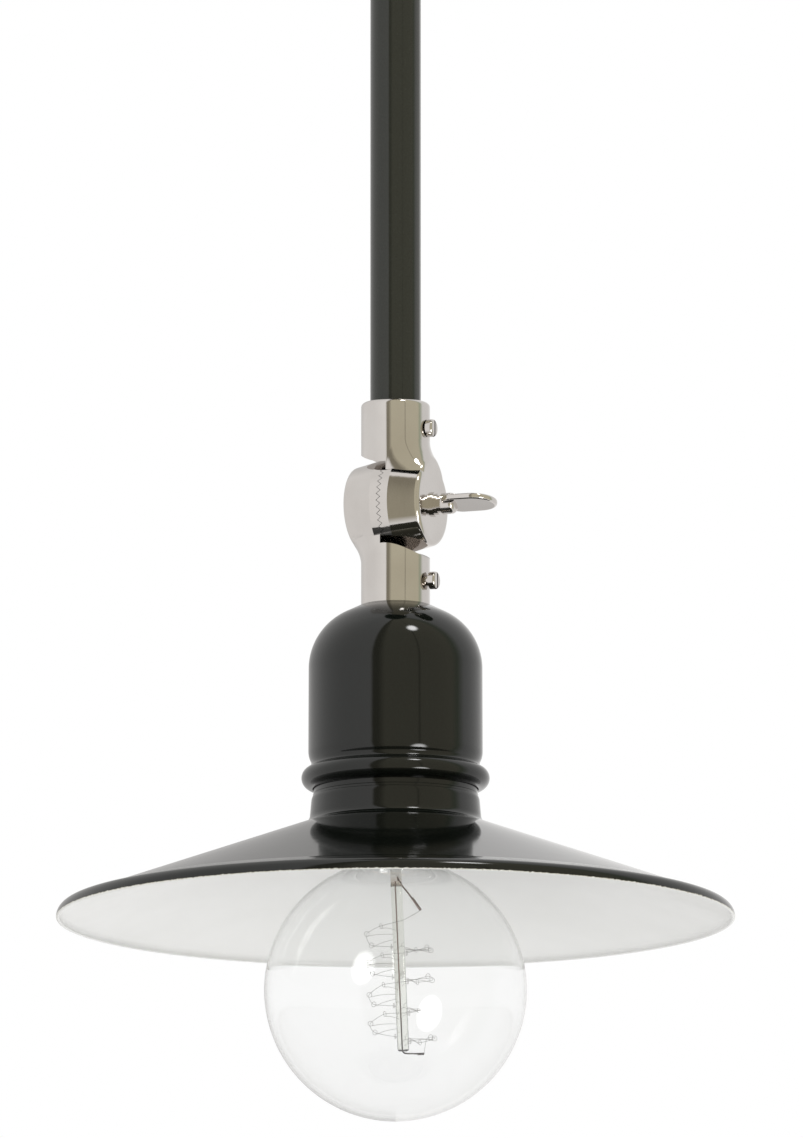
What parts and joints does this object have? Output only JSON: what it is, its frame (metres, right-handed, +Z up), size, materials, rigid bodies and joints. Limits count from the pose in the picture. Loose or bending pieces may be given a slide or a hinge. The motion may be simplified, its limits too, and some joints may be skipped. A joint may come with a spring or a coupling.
{
  "type": "rod pendant light",
  "caption": "Black enamelled rod pendant with a toothed nickel tilt knuckle and wing screw, a shallow cone shade, white inside, and a clear globe filament lamp.",
  "frame": {"origin": "centre of the ceiling bracket, on the ceiling plane", "axes": "+Z up towards the ceiling, +X along the tilt hinge towards the wing screw"},
  "size_m": [0.2456, 0.2456, 0.5781],
  "materials": {
    "black_enamel": "gloss black enamel on steel",
    "shade_enamel": "gloss black enamel outside, white enamel inside",
    "nickel": "polished nickel plate",
    "zinc_steel": "zinc-plated steel",
    "brass": "plain brass",
    "cap_brass": "rolled thin brass",
    "solder": "dull solder",
    "white_plastic": "matte",
    "black_plastic": "moulded, slightly glossy",
    "porcelain": "glazed",
    "black_glass": "opaque dark glass",
    "clear_glass": "clear",
    "stem_glass": "clear, drawn",
    "filament_wire": "dark drawn wire",
    "hook_wire": "drawn wire",
    "lead_wire": "copper-coated wire"
  },
  "bodies": {
    "hanger": {"ceiling_bracket": "zinc_steel", "canopy": "black_enamel", "canopy_screws": "nickel", "terminal_block": "white_plastic", "terminal_screws": "brass", "terminal_block_screw": "zinc_steel", "earth_screw": "brass", "rod_nipple": "zinc_steel", "rod_nut": "zinc_steel", "rod_washer": "zinc_steel", "rod_bushing": "zinc_steel", "rod": "black_enamel", "upper_knuckle": "nickel", "upper_set_screw": "nickel"},
    "wing_washer": {"wing_washer": "nickel"},
    "wing_screw": {"wing_screw": "nickel"},
    "lamp": {"lower_knuckle": "nickel", "lower_set_screw": "nickel", "cover_nipple": "zinc_steel", "socket_cover": "black_enamel", "cover_washer": "zinc_steel", "cover_nut": "zinc_steel", "holder_cap": "black_plastic", "holder_skirt": "black_plastic", "holder_insert": "porcelain", "holder_screws": "brass", "thread_shell": "brass", "centre_contact": "brass", "shade_ring": "black_plastic", "shade": "shade_enamel"},
    "bulb_tip": {"lamp_tip": "solder"},
    "bulb": {"lamp_insulator": "black_glass", "lamp_cap": "cap_brass", "globe": "clear_glass", "lamp_stem": "stem_glass", "filament": "filament_wire", "filament_hooks": "hook_wire", "filament_leads": "lead_wire"}
  },
  "joints": [
    {"name": "tilt", "type": "hinge", "parent": "hanger", "child": "lamp", "pos_m": [0, 0, -0.3536], "axis": [1, 0, 0], "range_deg": [-81.82, 81.82]},
    {"name": "wing_travel", "type": "slide", "parent": "hanger", "child": "wing_washer", "axis": [1, 0, 0], "range_m": [0, 0.0031]},
    {"name": "wing_turn", "type": "hinge", "parent": "wing_washer", "child": "wing_screw", "pos_m": [0, 0, -0.3536], "axis": [1, 0, 0], "range_deg": [0, 1080]},
    {"name": "bulb_travel", "type": "slide", "parent": "lamp", "child": "bulb_tip", "axis": [0, 0, -1], "range_m": [0, 0.0201]},
    {"name": "bulb_turn", "type": "hinge", "parent": "bulb_tip", "child": "bulb", "pos_m": [0, 0, -0.4663], "axis": [0, 0, -1], "range_deg": [0, 1980]}
  ],
  "couplings": [
    {"joint": "wing_travel", "follows": "wing_turn", "m_per_rad": 0.00015915},
    {"joint": "bulb_travel", "follows": "bulb_turn", "m_per_rad": 0.00057757}
  ]
}
